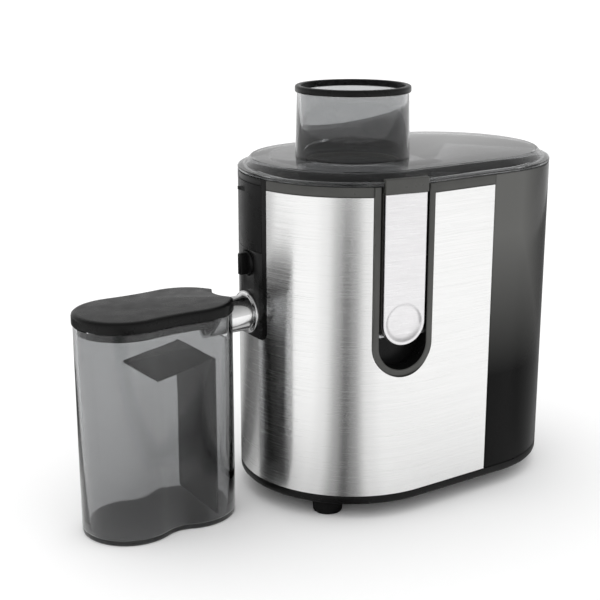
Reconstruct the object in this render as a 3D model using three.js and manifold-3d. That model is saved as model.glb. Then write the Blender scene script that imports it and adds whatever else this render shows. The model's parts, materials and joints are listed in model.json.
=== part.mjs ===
// Centrifugal juicer: a straight-sided stadium body with a steel wrap, a smoked lid with a wide feed
// chute, a pulp bin that makes up the right-hand end, and a juice jug that stands under the outlet.
// Millimetres, +Z up, +X from the outlet end to the pulp bin end, -Y is the front with the locking arm.
// The origin is the centre of the base pan's flat underside.

import * as THREE from 'three';
import { mergeVertices } from 'three/addons/utils/BufferGeometryUtils.js';
import Module from 'manifold-3d';

const wasm = await Module();
wasm.setup();

// ---------------------------------------------------------------- driving dimensions

const GAP = 0.3; // between pieces that touch
const FAR = 400; // reach of a cutting block past the body

const HALF_LENGTH = 110.5;
const HALF_WIDTH = 74;
const END_X = HALF_LENGTH - HALF_WIDTH; // centres of the two round ends
const AXIS_X = -END_X; // spin axis of the motor and basket
const END_STEPS = 18; // sides on each round end
const FINE = 36; // sides on the large visible rounds
const ROUND = 16; // sides on other rounds
const SMALL = 10; // sides on screws and bushes

const FOOT_HEIGHT = 10;
const BASE_TOP = 5.6;
const DECK_Z = 132; // motor deck inside the housing
const STEEL_TOP = 197.4;
const RIM_TOP = 203.6; // top of the collar and the pulp bin
const LID_BOTTOM = RIM_TOP + 0.4;
const FLANGE_TOP = 206;
const LID_TOP = 211.7;
const CHUTE_TOP = 252;
const MOUTH_TOP = 256.4;

const STEEL = 0.8;
const WALL = 2.5;
const BIN_X = 20; // where the steel ends and the pulp bin begins

const CHUTE_R = 36.8; // outside, at the lid
const CHUTE_BORE = 32.5;
const CHUTE_END = 171; // lower end, just above the grater disc

const OUTLET_Y = 12; // spout, knob and jug stand on this line
const OUTLET_HALF = 22;
const OUTLET_BOTTOM = 101;
const APRON_HALF = 17.5;
const APRON_BOTTOM = 157;
const SPOUT_Z = 115.5;
const SPOUT_R = 11.5;
const SPOUT_BORE = 9.7;
const SPOUT_TIP = -144;
const KNOB_Z = 147.6;
const KNOB_R = 7.6;

const LATCH_TURN = THREE.MathUtils.degToRad(-10.5); // about the spin axis, from straight ahead to the left
const LATCH_HALF = 20.5; // surround
const POCKET_HALF = 16.5; // recess that holds the arm
const POCKET_END_Z = 104.3; // centre of the recess's round lower end
const SURROUND_FRONT = -72.8;
const POCKET_Y = -60; // back of the recess
const ARM_HALF = 14.5;
const ARM_END_Z = 118.5; // centre of the arm's round lower end
const PIVOT_Y = -67;
const PIVOT_Z = 110; // low enough for the arm's end to clear the recess as it swings out

const FLOOR = -FOOT_HEIGHT;
const JUG_X = -177.5;
const JUG_LOBE = 30;
const JUG_LOBE_X = 21; // lobe centres from the jug's middle
const JUG_TOP = 124;
const WAIST_LOW = 25.2; // half width between the lobes, at the floor
const WAIST_HIGH = 28.8; // and at the jug's mouth

// ---------------------------------------------------------------- materials

const finish = (color, roughness, metalness = 0, extra = {}) =>
  new THREE.MeshStandardMaterial({ color, roughness, metalness, ...extra });

const smoked = { transparent: true, opacity: 0.45 };
const LOOK = {
  black: () => finish(0x141414, 0.35),
  rubber: () => finish(0x101010, 0.85),
  grey: () => finish(0x4a4a47, 0.4),
  steel: () => finish(0xc9c9c6, 0.3, 1),
  silver: () => finish(0xcfcfcd, 0.35, 0.8),
  chrome: () => finish(0xdadada, 0.1, 1),
  lid: () => finish(0x3c3d3d, 0.08, 0, smoked),
  jug: () => finish(0x8b8c8c, 0.06, 0, { transparent: true, opacity: 0.3 }),
  bin: () => finish(0x2b2b29, 0.15),
  bowl: () => finish(0x1c1c1c, 0.3),
  mesh: () => finish(0xb8b8b5, 0.35, 1),
  iron: () => finish(0x6f7072, 0.5, 0.8),
  copper: () => finish(0xa45a2c, 0.4, 0.8),
  carbon: () => finish(0x222222, 0.7),
  zinc: () => finish(0xb5b6b8, 0.35, 1),
  nylon: () => finish(0xd8d6cc, 0.6),
};

// ---------------------------------------------------------------- closed solids from three.js geometry

function signedVolume(position, index) {
  const [a, b, c] = [new THREE.Vector3(), new THREE.Vector3(), new THREE.Vector3()];
  let volume = 0;
  for (let i = 0; i < index.length; i += 3) {
    a.fromBufferAttribute(position, index[i]);
    b.fromBufferAttribute(position, index[i + 1]);
    c.fromBufferAttribute(position, index[i + 2]);
    volume += a.dot(b.cross(c));
  }
  return volume;
}

// a three.js geometry as a solid, its faces turned outwards
function solid(geometry) {
  geometry.deleteAttribute('normal');
  geometry.deleteAttribute('uv');
  const merged = mergeVertices(geometry, 1e-4);
  const index = [];
  const source = merged.index.array;
  for (let i = 0; i < source.length; i += 3) {
    const [a, b, c] = [source[i], source[i + 1], source[i + 2]];
    if (a !== b && b !== c && c !== a) index.push(a, b, c);
  }
  const { position } = merged.attributes;
  if (signedVolume(position, index) < 0) index.reverse();
  const mesh = new wasm.Mesh({
    numProp: 3,
    vertProperties: Float32Array.from(position.array),
    triVerts: Uint32Array.from(index),
  });
  return new wasm.Manifold(mesh);
}

function geometryOf(manifold) {
  const mesh = manifold.getMesh();
  const geometry = new THREE.BufferGeometry();
  geometry.setAttribute('position', new THREE.BufferAttribute(mesh.vertProperties, 3));
  geometry.setIndex(new THREE.BufferAttribute(mesh.triVerts, 1));
  return geometry;
}

const join = (first, ...rest) => rest.reduce((sum, piece) => sum.add(piece), first);
const cut = (first, ...rest) => rest.reduce((left, piece) => left.subtract(piece), first);

function box([x0, x1], [y0, y1], [z0, z1]) {
  const geometry = new THREE.BoxGeometry(x1 - x0, y1 - y0, z1 - z0);
  return solid(geometry.translate((x0 + x1) / 2, (y0 + y1) / 2, (z0 + z1) / 2));
}

// a round bar from one end to the other along X, Y or Z, centred on the other two coordinates
function bar(axis, radius, [from, to], [u, v], sides = ROUND) {
  const geometry = new THREE.CylinderGeometry(radius, radius, to - from, sides);
  const middle = (from + to) / 2;
  if (axis === 'x') return solid(geometry.rotateZ(Math.PI / 2).translate(middle, u, v));
  if (axis === 'y') return solid(geometry.translate(u, middle, v));
  return solid(geometry.rotateX(Math.PI / 2).translate(u, v, middle));
}

// a closed profile of [radius, height] points turned about +Z
function turned(profile, sides = ROUND) {
  const points = [...profile, profile[0]].map(([r, z]) => new THREE.Vector2(r, z));
  return solid(new THREE.LatheGeometry(points, sides).rotateX(Math.PI / 2));
}

// a plan outline stacked through [inset, height] levels, with flat ends
function stacked(outline, levels) {
  const rings = levels.map(([inset, z]) => outline(inset, z).map(({ x, y }) => [x, y, z]));
  const count = rings[0].length;
  const top = rings.length - 1;
  const position = rings.flat(2);
  const centre = new THREE.Vector2();
  outline(0, levels[0][1]).forEach((point) => centre.addScaledVector(point, 1 / count));
  position.push(centre.x, centre.y, levels[0][1], centre.x, centre.y, levels[top][1]);
  const lowCentre = rings.length * count;
  const index = [];
  for (let k = 0; k < count; k += 1) {
    const next = (k + 1) % count;
    for (let i = 0; i < top; i += 1) {
      const [a, b] = [i * count + k, i * count + next];
      index.push(a, b, b + count, a, b + count, a + count);
    }
    index.push(lowCentre, next, k);
    index.push(lowCentre + 1, top * count + k, top * count + next);
  }
  const geometry = new THREE.BufferGeometry();
  geometry.setAttribute('position', new THREE.Float32BufferAttribute(position, 3));
  geometry.setIndex(index);
  return solid(geometry);
}

function arc(points, [x, y], radius, from, to, steps) {
  for (let i = 0; i <= steps; i += 1) {
    const angle = from + ((to - from) * i) / steps;
    points.push(new THREE.Vector2(x + radius * Math.cos(angle), y + radius * Math.sin(angle)));
  }
}

// ---------------------------------------------------------------- plan outlines

function bodyOutline(inset) {
  const points = [];
  const radius = HALF_WIDTH - inset;
  arc(points, [END_X, 0], radius, -Math.PI / 2, Math.PI / 2, END_STEPS);
  arc(points, [-END_X, 0], radius, Math.PI / 2, (3 * Math.PI) / 2, END_STEPS);
  return points;
}

// two round lobes joined on each side by a waist that gets deeper towards the floor
function jugOutline(inset, z) {
  const rise = THREE.MathUtils.clamp((z - FLOOR) / (JUG_TOP - FLOOR), 0, 1);
  const lobe = JUG_LOBE - inset;
  const waist = THREE.MathUtils.lerp(WAIST_LOW, WAIST_HIGH, rise) - inset;
  const fillet = (waist ** 2 + JUG_LOBE_X ** 2 - lobe ** 2) / (2 * (lobe - waist));
  const filletY = waist + fillet;
  const meet = Math.atan2(filletY, JUG_LOBE_X); // direction from a lobe to its fillet centre
  const points = [];
  arc(points, [JUG_X + JUG_LOBE_X, OUTLET_Y], lobe, meet - Math.PI, Math.PI - meet, ROUND);
  arc(points, [JUG_X, OUTLET_Y + filletY], fillet, -meet, meet - Math.PI, 4);
  arc(points, [JUG_X - JUG_LOBE_X, OUTLET_Y], lobe, meet, 2 * Math.PI - meet, ROUND);
  arc(points, [JUG_X, OUTLET_Y - filletY], fillet, Math.PI - meet, meet, 4);
  return points.filter((p, i) => p.distanceTo(points[(i + 1) % points.length]) > 1e-3);
}

const bodyBlock = (inset, [z0, z1]) => stacked(bodyOutline, [[inset, z0], [inset, z1]]);
const leftOf = (x) => box([-FAR, x], [-FAR, FAR], [-FAR, FAR]);
const rightOf = (x) => box([x, FAR], [-FAR, FAR], [-FAR, FAR]);

// an upright slot outline with a round lower end, as a block through the front face of the latch's own frame
function slotGeometry(half, endZ, top, [y0, y1]) {
  const shape = new THREE.Shape();
  shape.moveTo(half, top);
  shape.lineTo(-half, top);
  shape.lineTo(-half, endZ);
  shape.absarc(0, endZ, half, Math.PI, 2 * Math.PI, false);
  shape.closePath();
  const options = { depth: y1 - y0, bevelEnabled: false, curveSegments: 20 };
  return new THREE.ExtrudeGeometry(shape, options).rotateX(Math.PI / 2).translate(0, y1, 0);
}

const slotBlock = (...size) => solid(slotGeometry(...size));
const fromLatch = (geometry) => solid(geometry.rotateZ(LATCH_TURN).translate(AXIS_X, 0, 0));

// the outlet panel's outline, with round lower corners, as a block through the left end
function outletBlock(grow) {
  const half = OUTLET_HALF + grow;
  const low = OUTLET_BOTTOM - grow;
  const corner = 6;
  const shape = new THREE.Shape();
  shape.moveTo(half, RIM_TOP);
  shape.lineTo(-half, RIM_TOP);
  shape.lineTo(-half, low + corner);
  shape.absarc(-half + corner, low + corner, corner, Math.PI, 1.5 * Math.PI, false);
  shape.lineTo(half - corner, low);
  shape.absarc(half - corner, low + corner, corner, -Math.PI / 2, 0, false);
  shape.closePath();
  const geometry = new THREE.ExtrudeGeometry(shape, { depth: 60, bevelEnabled: false, curveSegments: 8 });
  geometry.rotateX(Math.PI / 2).rotateZ(Math.PI / 2);
  return solid(geometry.translate(-HALF_LENGTH - 20, OUTLET_Y, 0));
}

// ---------------------------------------------------------------- scene graph

const juicer = new THREE.Group();
const spindle = new THREE.Group(); // everything centred on the spin axis
spindle.position.x = AXIS_X;
const latch = new THREE.Group(); // the locking arm's own frame: its front face looks along -Y
latch.position.x = AXIS_X;
latch.rotation.z = LATCH_TURN;
juicer.add(spindle, latch);

function place(group, name, manifold, material, position = [0, 0, 0]) {
  const mesh = new THREE.Mesh(geometryOf(manifold), material);
  mesh.name = name;
  mesh.position.set(...position);
  group.add(mesh);
}

// ---------------------------------------------------------------- base, feet and screws

const FOOT_REACH = 60; // feet stand this far from the round ends' centres
const FOOT_ANGLE = THREE.MathUtils.degToRad(40);
const FOOT_X = END_X + FOOT_REACH * Math.cos(FOOT_ANGLE);
const FOOT_Y = FOOT_REACH * Math.sin(FOOT_ANGLE);
const CORNERS = [[-1, -1], [1, -1], [1, 1], [-1, 1]];
const FOOT_SPOTS = CORNERS.map(([i, j]) => [i * FOOT_X, j * FOOT_Y]);
const BOSS_Y = 65;
const BOSS_SPOTS = [[-48, -BOSS_Y], [9, BOSS_Y]];
const SCREW_HOLE = 2.2;
const HEAD_HOLE = 4.2;
const HEAD_DEPTH = 2.8;
const LABEL = { x: [-5, 45], half: 22, groove: 0.8, depth: 0.4 }; // groove that frames the rating label

function labelGroove() {
  const { x: [x0, x1], half, groove, depth } = LABEL;
  const outer = box([x0, x1], [-half, half], [-1, depth]);
  return cut(outer, box([x0 + groove, x1 - groove], [groove - half, half - groove], [-2, depth + 1]));
}

function basePan() {
  const pan = stacked(bodyOutline, [[1.4, 0], [0, 1.4], [0, BASE_TOP]]);
  const footHoles = FOOT_SPOTS.map((spot) => bar('z', SCREW_HOLE, [-1, 4.9], spot, SMALL));
  const bossHoles = BOSS_SPOTS.map((spot) => bar('z', SCREW_HOLE, [-1, BASE_TOP + 1], spot, SMALL));
  const headHoles = BOSS_SPOTS.map((spot) => bar('z', HEAD_HOLE, [-1, HEAD_DEPTH], spot, SMALL));
  const vents = [];
  for (let i = -3; i <= 3; i += 1) {
    const x = AXIS_X + 9 * i;
    const reach = 24 - Math.abs(i) * 2;
    vents.push(box([x - 2, x + 2], [5, 5 + reach], [-1, BASE_TOP + 1]));
    vents.push(box([x - 2, x + 2], [-5 - reach, -5], [-1, BASE_TOP + 1]));
  }
  return cut(pan, ...footHoles, ...bossHoles, ...headHoles, ...vents, labelGroove());
}

function foot() {
  const height = FOOT_HEIGHT - GAP;
  return turned([
    [SCREW_HOLE, height], [SCREW_HOLE, 4.5], [5.2, 4.5], [5.2, 0],
    [8.6, 0], [9.4, 0.8], [10.2, height],
  ]);
}

function panHeadScrew(headRadius, headHeight, length) {
  const shank = 1.9;
  return turned([
    [0, 0], [headRadius, 0], [headRadius, headHeight], [shank, headHeight], [shank, length], [0, length],
  ], SMALL);
}

place(juicer, 'base_pan', basePan(), LOOK.black());
FOOT_SPOTS.forEach(([x, y], i) => {
  const screw = panHeadScrew(4.2, 2.4, 12.2);
  const headZ = FLOOR + 4.5 - GAP - 2.4; // up against the shoulder inside the foot
  place(juicer, `foot_${i + 1}`, foot(), LOOK.rubber(), [x, y, FLOOR]);
  place(juicer, `foot_screw_${i + 1}`, screw, LOOK.zinc(), [x, y, headZ]);
});
BOSS_SPOTS.forEach(([x, y], i) => {
  place(juicer, `base_screw_${i + 1}`, panHeadScrew(3.9, 2, 16), LOOK.zinc(), [x, y, 0.5]);
});

// ---------------------------------------------------------------- housing, steel wrap and pulp bin

const SKIN_INSET = STEEL + GAP; // outside of the housing behind the steel
const BULKHEAD_TOP = 192;
const GLAND = { x: -10, z: 24, hole: 6.5 };
const DOWNSPOUT = { x: [-92, -72], half: 12, low: 100 };

const latchOpening = () =>
  fromLatch(slotGeometry(LATCH_HALF + GAP, POCKET_END_Z, RIM_TOP + 1, [-HALF_WIDTH - 5, POCKET_Y + 4]));

// cooling slots low in the back, cut from the given y outwards
function rearVents(fromY) {
  const slots = [];
  for (let i = 0; i < 6; i += 1) {
    const z = 40 + 9 * i;
    slots.push(box([-30, 5], [fromY, HALF_WIDTH + 5], [z, z + 4]));
  }
  return slots;
}

const glandHole = (radius) => bar('y', radius, [HALF_WIDTH - 12, HALF_WIDTH + 6], [GLAND.x, GLAND.z]);

function housing() {
  const wall = join(
    bodyBlock(SKIN_INSET, [BASE_TOP + GAP, RIM_TOP]),
    bodyBlock(0, [STEEL_TOP + GAP, RIM_TOP]),
  ).intersect(leftOf(BIN_X));
  const inset = SKIN_INSET + WALL;
  const room = bodyBlock(inset, [0, BULKHEAD_TOP]).intersect(leftOf(BIN_X - WALL));
  const mouth = bodyBlock(inset, [BULKHEAD_TOP - 1, RIM_TOP + 1]);
  const deck = bodyBlock(inset - 1, [DECK_Z, DECK_Z + 3]).intersect(leftOf(BIN_X - 1));
  const bosses = BOSS_SPOTS.map((spot) => bar('z', 5.5, [BASE_TOP + GAP, 22], spot, SMALL));
  const bossHoles = BOSS_SPOTS.map((spot) => bar('z', SCREW_HOLE, [0, 20], spot, SMALL));
  const [x0, x1] = DOWNSPOUT.x;
  const span = [OUTLET_Y - DOWNSPOUT.half - GAP, OUTLET_Y + DOWNSPOUT.half + GAP];
  return cut(
    join(cut(wall, room, mouth), deck, ...bosses),
    ...bossHoles,
    outletBlock(GAP),
    latchOpening(),
    bar('z', 14, [DECK_Z - 1, DECK_Z + 4], [AXIS_X, 0]),
    box([x0 - GAP, x1 + GAP], span, [DECK_Z - 1, DECK_Z + 4]),
    glandHole(GLAND.hole),
    ...rearVents(HALF_WIDTH - 12),
  );
}

function steelWrap() {
  const outer = bodyBlock(0, [BASE_TOP + GAP, STEEL_TOP]).intersect(leftOf(BIN_X));
  return cut(
    outer,
    bodyBlock(STEEL, [0, STEEL_TOP + 1]),
    outletBlock(GAP),
    latchOpening(),
    glandHole(GLAND.hole),
    ...rearVents(HALF_WIDTH - 3),
  );
}

const GRIP_STEP = 2.7; // the bin's far end steps in above the base as a finger grip
const GRIP_TOP = 21;

function pulpBin() {
  const floor = BASE_TOP + GAP;
  const left = BIN_X + GAP;
  const outer = bodyBlock(0, [floor, RIM_TOP]).intersect(rightOf(left));
  const far = HALF_LENGTH - GRIP_STEP;
  const behindGrip = box([far - WALL, FAR], [-FAR, FAR], [0, GRIP_TOP + WALL]);
  const room = bodyBlock(WALL, [floor + WALL, RIM_TOP + 1]).intersect(rightOf(left + WALL));
  const inside = cut(room, behindGrip);
  const side = HALF_WIDTH - WALL;
  const pulpEdge = box([left - 1, left + WALL + 1], [-side, side], [BULKHEAD_TOP, RIM_TOP + 1]);
  return cut(outer, inside, pulpEdge, box([far, FAR], [-FAR, FAR], [0, GRIP_TOP]));
}

place(juicer, 'housing', housing(), LOOK.grey());
place(juicer, 'steel_wrap', steelWrap(), LOOK.steel());
place(juicer, 'pulp_bin', pulpBin(), LOOK.bin());

const cordGland = turned([
  [3.4, 0], [6.2, 0], [6.2, 6.6], [8.2, 6.6], [8.2, 8.4], [5.4, 10], [5, 14], [3.4, 14],
]);
const glandMesh = new THREE.Mesh(geometryOf(cordGland), LOOK.rubber());
glandMesh.name = 'cord_gland';
glandMesh.rotation.x = -Math.PI / 2; // the turned axis points out of the back
glandMesh.position.set(GLAND.x, HALF_WIDTH - 6.6 + GAP, GLAND.z);
juicer.add(glandMesh);

// ---------------------------------------------------------------- locking arm

const ARM_BACK = -65;
const FACE_FRONT = -73.6;
const FACE_BACK = -71.2;
const FACE_TOP = 199;
const HEAD_FRONT = -74.6;
const HEAD_BACK = -72.5; // the head stands in a notch of the lid's flange
const HOOK_LOW = 206.8;
const HOOK_TOP = 208.2;
const HOOK_TIP = -70.9;
const PIN_R = 2;
const DIMPLE = { r: 12.4, depth: 1.4 };

function latchSurround() {
  const body = slotBlock(LATCH_HALF, POCKET_END_Z, RIM_TOP, [SURROUND_FRONT, POCKET_Y + 2]);
  const pocket = slotBlock(POCKET_HALF, POCKET_END_Z, RIM_TOP + 1, [-HALF_WIDTH - 5, POCKET_Y]);
  const pinHole = bar('x', PIN_R + GAP, [-POCKET_HALF - 2.5, POCKET_HALF + 2.5], [PIVOT_Y, PIVOT_Z]);
  return cut(body, pocket, pinHole);
}

// the head's side profile: up in front of the lid's flange, then a hook over it
function armHead() {
  const shape = new THREE.Shape([
    [ARM_BACK, 196], [FACE_BACK, 196], [FACE_BACK, FACE_TOP + GAP], [HEAD_FRONT, FACE_TOP + GAP],
    [HEAD_FRONT, HOOK_TOP - 0.8], [HEAD_FRONT + 0.8, HOOK_TOP], [HOOK_TIP, HOOK_TOP],
    [HOOK_TIP, HOOK_LOW + 0.3], [HEAD_BACK, HOOK_LOW], [HEAD_BACK, RIM_TOP - GAP], [ARM_BACK, RIM_TOP - GAP],
  ].map(([y, z]) => new THREE.Vector2(y, z)));
  const geometry = new THREE.ExtrudeGeometry(shape, { depth: 2 * ARM_HALF, bevelEnabled: false });
  geometry.rotateX(Math.PI / 2).rotateZ(Math.PI / 2); // profile into the YZ plane, depth along X
  return solid(geometry.translate(-ARM_HALF, 0, 0));
}

function leverArm() {
  const carrier = slotBlock(ARM_HALF, ARM_END_Z, 197, [FACE_BACK, ARM_BACK]);
  const bore = bar('x', PIN_R + GAP, [-ARM_HALF - 1, ARM_HALF + 1], [PIVOT_Y, PIVOT_Z]);
  return cut(join(carrier, armHead()), bore);
}

function leverFace() {
  const plate = slotBlock(ARM_HALF - 0.2, ARM_END_Z, FACE_TOP, [FACE_FRONT, FACE_BACK - GAP]);
  const radius = (DIMPLE.r ** 2 + DIMPLE.depth ** 2) / (2 * DIMPLE.depth);
  const ball = new THREE.SphereGeometry(radius, FINE, ROUND).rotateX(Math.PI / 2);
  ball.translate(0, FACE_FRONT - radius + DIMPLE.depth, ARM_END_Z);
  return cut(plate, solid(ball));
}

place(latch, 'latch_surround', latchSurround(), LOOK.grey());
place(latch, 'lever_arm', leverArm(), LOOK.grey());
place(latch, 'lever_face', leverFace(), LOOK.silver());
place(latch, 'lever_pin', bar('x', PIN_R, [-18.5, 18.5], [0, 0]), LOOK.zinc(), [0, PIVOT_Y, PIVOT_Z]);
place(latch, 'safety_switch', box([-10, 10], [-3, 3], [-8, 8]), LOOK.black(), [0, -54.4, 104]);

// ---------------------------------------------------------------- outlet panel, spout and speed knob

const PANEL = 3.2; // thickness
const SEAT_X = -107.4; // flat seat that the knob turns on
const ROOT_R = 13.8; // ring round the spout's root

const onSpout = [OUTLET_Y, SPOUT_Z];
const onKnob = [OUTLET_Y, KNOB_Z];

function endShell(thickness, [z0, z1]) {
  return cut(bodyBlock(0, [z0, z1]), bodyBlock(thickness, [z0 - 1, z1 + 1])).intersect(leftOf(AXIS_X - 30));
}

function outletPanel() {
  const sheet = endShell(PANEL, [OUTLET_BOTTOM, RIM_TOP]).intersect(outletBlock(0));
  const apronGap = box(
    [-FAR, 0],
    [OUTLET_Y - APRON_HALF - GAP, OUTLET_Y + APRON_HALF + GAP],
    [APRON_BOTTOM - GAP, FAR],
  );
  return cut(
    sheet,
    apronGap,
    bar('x', ROOT_R + GAP, [-FAR, -90], onSpout),
    bar('x', KNOB_R + 0.8, [-FAR, SEAT_X], onKnob),
    bar('x', 3.2, [-FAR, -90], onKnob),
  );
}

// a tube with a ring at its root and a slanting, scoop-shaped mouth
function juiceSpout() {
  const rear = DOWNSPOUT.x[0] - 1.8;
  const tube = join(
    bar('x', SPOUT_R, [SPOUT_TIP, rear], onSpout, FINE),
    bar('x', ROOT_R, [-112.2, -104], onSpout, FINE),
  );
  const bore = bar('x', SPOUT_BORE, [SPOUT_TIP - 5, rear + 5], onSpout, FINE);
  const slope = 13 / (2 * SPOUT_R);
  const angle = Math.atan(slope);
  const mouthCut = new THREE.BoxGeometry(60, 80, 120);
  mouthCut.translate(-30, 0, 0).rotateY(angle).translate(SPOUT_TIP + 6.5, OUTLET_Y, SPOUT_Z);
  return cut(tube, bore, solid(mouthCut));
}

function spoutSeal() {
  const rear = DOWNSPOUT.x[0] - GAP;
  const ring = bar('x', SPOUT_R, [rear - 1.2, rear], onSpout);
  return cut(ring, bar('x', SPOUT_BORE, [rear - 2, rear + 1], onSpout));
}

function speedKnob() {
  const disc = bar('x', KNOB_R, [SEAT_X - 3.6, SEAT_X - GAP], [0, 0]);
  const grip = box([SEAT_X - 8.6, SEAT_X - 3], [-1.9, 1.9], [-KNOB_R + 0.7, KNOB_R - 0.7]);
  const rounded = bar('x', KNOB_R - 0.4, [SEAT_X - 9, SEAT_X], [0, 0]);
  const stem = bar('x', 2.8, [SEAT_X - 1, -98], [0, 0]);
  return join(disc, grip.intersect(rounded), stem);
}

function speedSwitch() {
  const body = box([-103.4, -94.6], [OUTLET_Y - 9, OUTLET_Y + 9], [KNOB_Z - 9, KNOB_Z + 8.5]);
  return cut(body, bar('x', 3.1, [-104, -97], onKnob));
}

place(juicer, 'outlet_panel', outletPanel(), LOOK.black());
place(juicer, 'juice_spout', juiceSpout(), LOOK.chrome());
place(juicer, 'spout_seal', spoutSeal(), LOOK.rubber());
place(juicer, 'speed_knob', speedKnob(), LOOK.black(), [0, OUTLET_Y, KNOB_Z]);
place(juicer, 'speed_switch', speedSwitch(), LOOK.nylon());

// ---------------------------------------------------------------- juice collector

const BOWL_R = 54;
const BOWL_FLOOR = 150;
const COLLAR_R = 18;
const TRAY_Z = 193; // flat tray round the bowl's mouth

function juiceCollector() {
  const [x0, x1] = DOWNSPOUT.x;
  const { half, low } = DOWNSPOUT;
  const span = (grow) => [OUTLET_Y - half + grow, OUTLET_Y + half - grow];
  const shell = join(
    bar('z', BOWL_R, [BOWL_FLOOR, TRAY_Z + 2], [AXIS_X, 0], FINE),
    bodyBlock(SKIN_INSET + WALL + GAP, [TRAY_Z, TRAY_Z + 2]).intersect(leftOf(BIN_X + 4)),
    box([x0, x1], span(0), [low, BOWL_FLOOR + 4]),
    endShell(2.6, [APRON_BOTTOM, RIM_TOP]).intersect(
      box([-FAR, 0], [OUTLET_Y - APRON_HALF, OUTLET_Y + APRON_HALF], [0, FAR]),
    ),
    box([-HALF_LENGTH + 4.6, -HALF_LENGTH + 10], [OUTLET_Y - 14, OUTLET_Y + 12], [TRAY_Z, TRAY_Z + 2]),
  );
  const bowlRoom = bar('z', BOWL_R - 2, [BOWL_FLOOR + 2, TRAY_Z + 3], [AXIS_X, 0], FINE);
  const collar = bar('z', COLLAR_R, [BOWL_FLOOR, 163.6], [AXIS_X, 0], FINE);
  const channel = box([x0 + 2, x1 - 2], span(2), [low + 2, BOWL_FLOOR + 3]);
  const latchRoom = fromLatch(slotGeometry(LATCH_HALF + 1, POCKET_END_Z, RIM_TOP, [-FAR, POCKET_Y + 3]));
  const seam = cut(
    bodyBlock(-1, [199.2, 199.8]),
    bodyBlock(0.5, [199, 200]),
  ).intersect(leftOf(AXIS_X - 30));
  return cut(
    join(cut(shell, bowlRoom), collar),
    channel,
    bar('z', COLLAR_R - 2, [BOWL_FLOOR - 1, 165], [AXIS_X, 0], FINE),
    bar('x', SPOUT_BORE, [x0 - 1, x0 + 3], onSpout),
    latchRoom,
    seam,
  );
}

place(juicer, 'juice_collector', juiceCollector(), LOOK.bowl());

// ---------------------------------------------------------------- lid and feed chute

const SKIRT_R = 54;

// a solid turned about Z, carried to the spin axis
function movedToAxis(manifold) {
  return solid(geometryOf(manifold).translate(AXIS_X, 0, 0));
}

function lid() {
  const cover = join(
    bodyBlock(0, [LID_BOTTOM, FLANGE_TOP]),
    stacked(bodyOutline, [[3.2, LID_BOTTOM], [3.2, FLANGE_TOP], [8.5, LID_TOP]]),
  );
  const insideLevels = [[5.8, LID_BOTTOM - 1], [5.8, FLANGE_TOP - 0.4], [10.5, LID_TOP - 2.4]];
  const inside = stacked(bodyOutline, insideLevels);
  const skirt = cut(
    bar('z', SKIRT_R, [199, LID_TOP - 1], [AXIS_X, 0], FINE),
    bar('z', SKIRT_R - 2, [198, LID_TOP], [AXIS_X, 0], FINE),
    rightOf(AXIS_X + 26),
  );
  const tubeR = CHUTE_BORE + 2.2;
  const chute = turned([
    [0, CHUTE_END], [tubeR, CHUTE_END], [tubeR, LID_TOP - 1], [CHUTE_R, LID_TOP - 0.5],
    [CHUTE_R - 1, CHUTE_TOP], [0, CHUTE_TOP],
  ], FINE);
  const bore = turned([
    [0, CHUTE_END - 1], [CHUTE_BORE, CHUTE_END - 1], [CHUTE_BORE, LID_TOP],
    [CHUTE_BORE + 1, CHUTE_TOP + 1], [0, CHUTE_TOP + 1],
  ], FINE);
  const side = ARM_HALF + 0.9;
  const headNotch = new THREE.BoxGeometry(2 * side, 12, 4);
  headNotch.translate(0, HEAD_BACK + GAP - 6, FLANGE_TOP - 1);
  return cut(join(cut(cover, inside), skirt, movedToAxis(chute)), movedToAxis(bore), fromLatch(headNotch));
}

const chuteRim = turned([
  [CHUTE_BORE + 0.8, 0], [CHUTE_R + 0.1, 0], [CHUTE_R + 0.3, 0.4], [CHUTE_R + 0.3, 3.2],
  [CHUTE_R - 0.4, 4.1], [CHUTE_BORE + 1.4, 4.1], [CHUTE_BORE + 0.8, 3.6],
], FINE);

place(juicer, 'lid', lid(), LOOK.lid());
place(spindle, 'chute_rim', chuteRim, LOOK.black(), [0, 0, MOUTH_TOP - 4.1]);

// ---------------------------------------------------------------- filter basket and its drive

const BASKET_TOP_R = 46.6;

function graterDisc() {
  const disc = bar('z', 33.5, [167.3, 168.3], [0, 0]);
  const teeth = [];
  for (let row = 0; row < 3; row += 1) {
    const count = 8 + 4 * row;
    for (let i = 0; i < count; i += 1) {
      const angle = (2 * Math.PI * (i + row / 3)) / count;
      const tooth = new THREE.ConeGeometry(1.3, 1.9, 4).rotateX(Math.PI / 2);
      const reach = 11 + 8.5 * row;
      tooth.translate(reach * Math.cos(angle), reach * Math.sin(angle), 169);
      teeth.push(solid(tooth));
    }
  }
  return join(disc, ...teeth);
}

place(spindle, 'filter_basket', turned([
  [20, 166.2], [37.6, 166.2], [BASKET_TOP_R, 195], [BASKET_TOP_R - 0.9, 195], [37, 167], [20, 167],
], FINE), LOOK.mesh());
place(spindle, 'grater_disc', graterDisc(), LOOK.mesh());
place(spindle, 'basket_rim', turned([
  [BASKET_TOP_R + GAP, 192], [48.8, 192.6], [48.8, 197.2],
  [46, 197.8], [45.6, 195.4], [BASKET_TOP_R + GAP, 195.4],
], FINE), LOOK.nylon());
place(spindle, 'basket_hub', turned([
  [10.4, 152], [14, 152], [14, 164.6], [36.5, 164.6], [36.5, 165.8], [10.4, 165.8],
]), LOOK.nylon());

function driveCoupling() {
  const sleeve = turned([[4.3, 139], [9, 139], [9, 164], [4.3, 164]]);
  const teeth = [];
  for (let i = 0; i < 6; i += 1) {
    const tooth = new THREE.BoxGeometry(3, 2.4, 10).translate(8.4, 0, 158);
    teeth.push(solid(tooth.rotateZ((i * Math.PI) / 3)));
  }
  return join(sleeve, ...teeth);
}

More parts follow.
